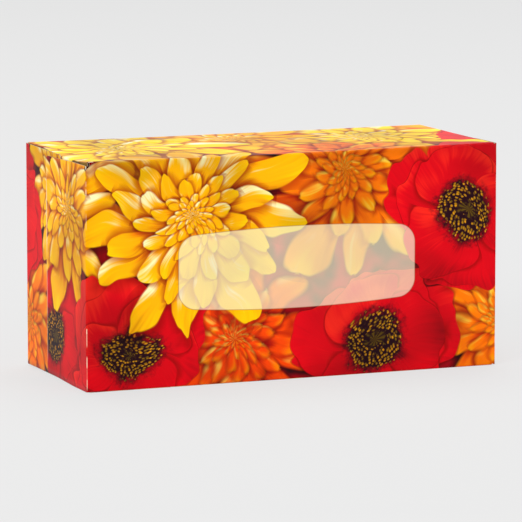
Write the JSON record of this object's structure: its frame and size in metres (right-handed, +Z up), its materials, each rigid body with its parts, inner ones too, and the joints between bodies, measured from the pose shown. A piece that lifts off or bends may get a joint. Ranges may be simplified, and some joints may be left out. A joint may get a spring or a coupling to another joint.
{
  "type": "tissue box",
  "caption": "Sealed, full tissue box: a low folded board carton with glued end flaps, a perforated tear-out in its top and a colourful all-over print.",
  "frame": {"origin": "middle of the underside, on the surface the box stands on", "axes": "+Z up; +X along the length; the front panel faces -Y and the two end closures face -X and +X"},
  "size_m": [0.216, 0.089, 0.1115],
  "materials": {
    "printed_board": "white-lined folding board, printed all over and varnished glossy"
  },
  "bodies": {
    "root": {"tissue_box": "printed_board"}
  },
  "joints": []
}
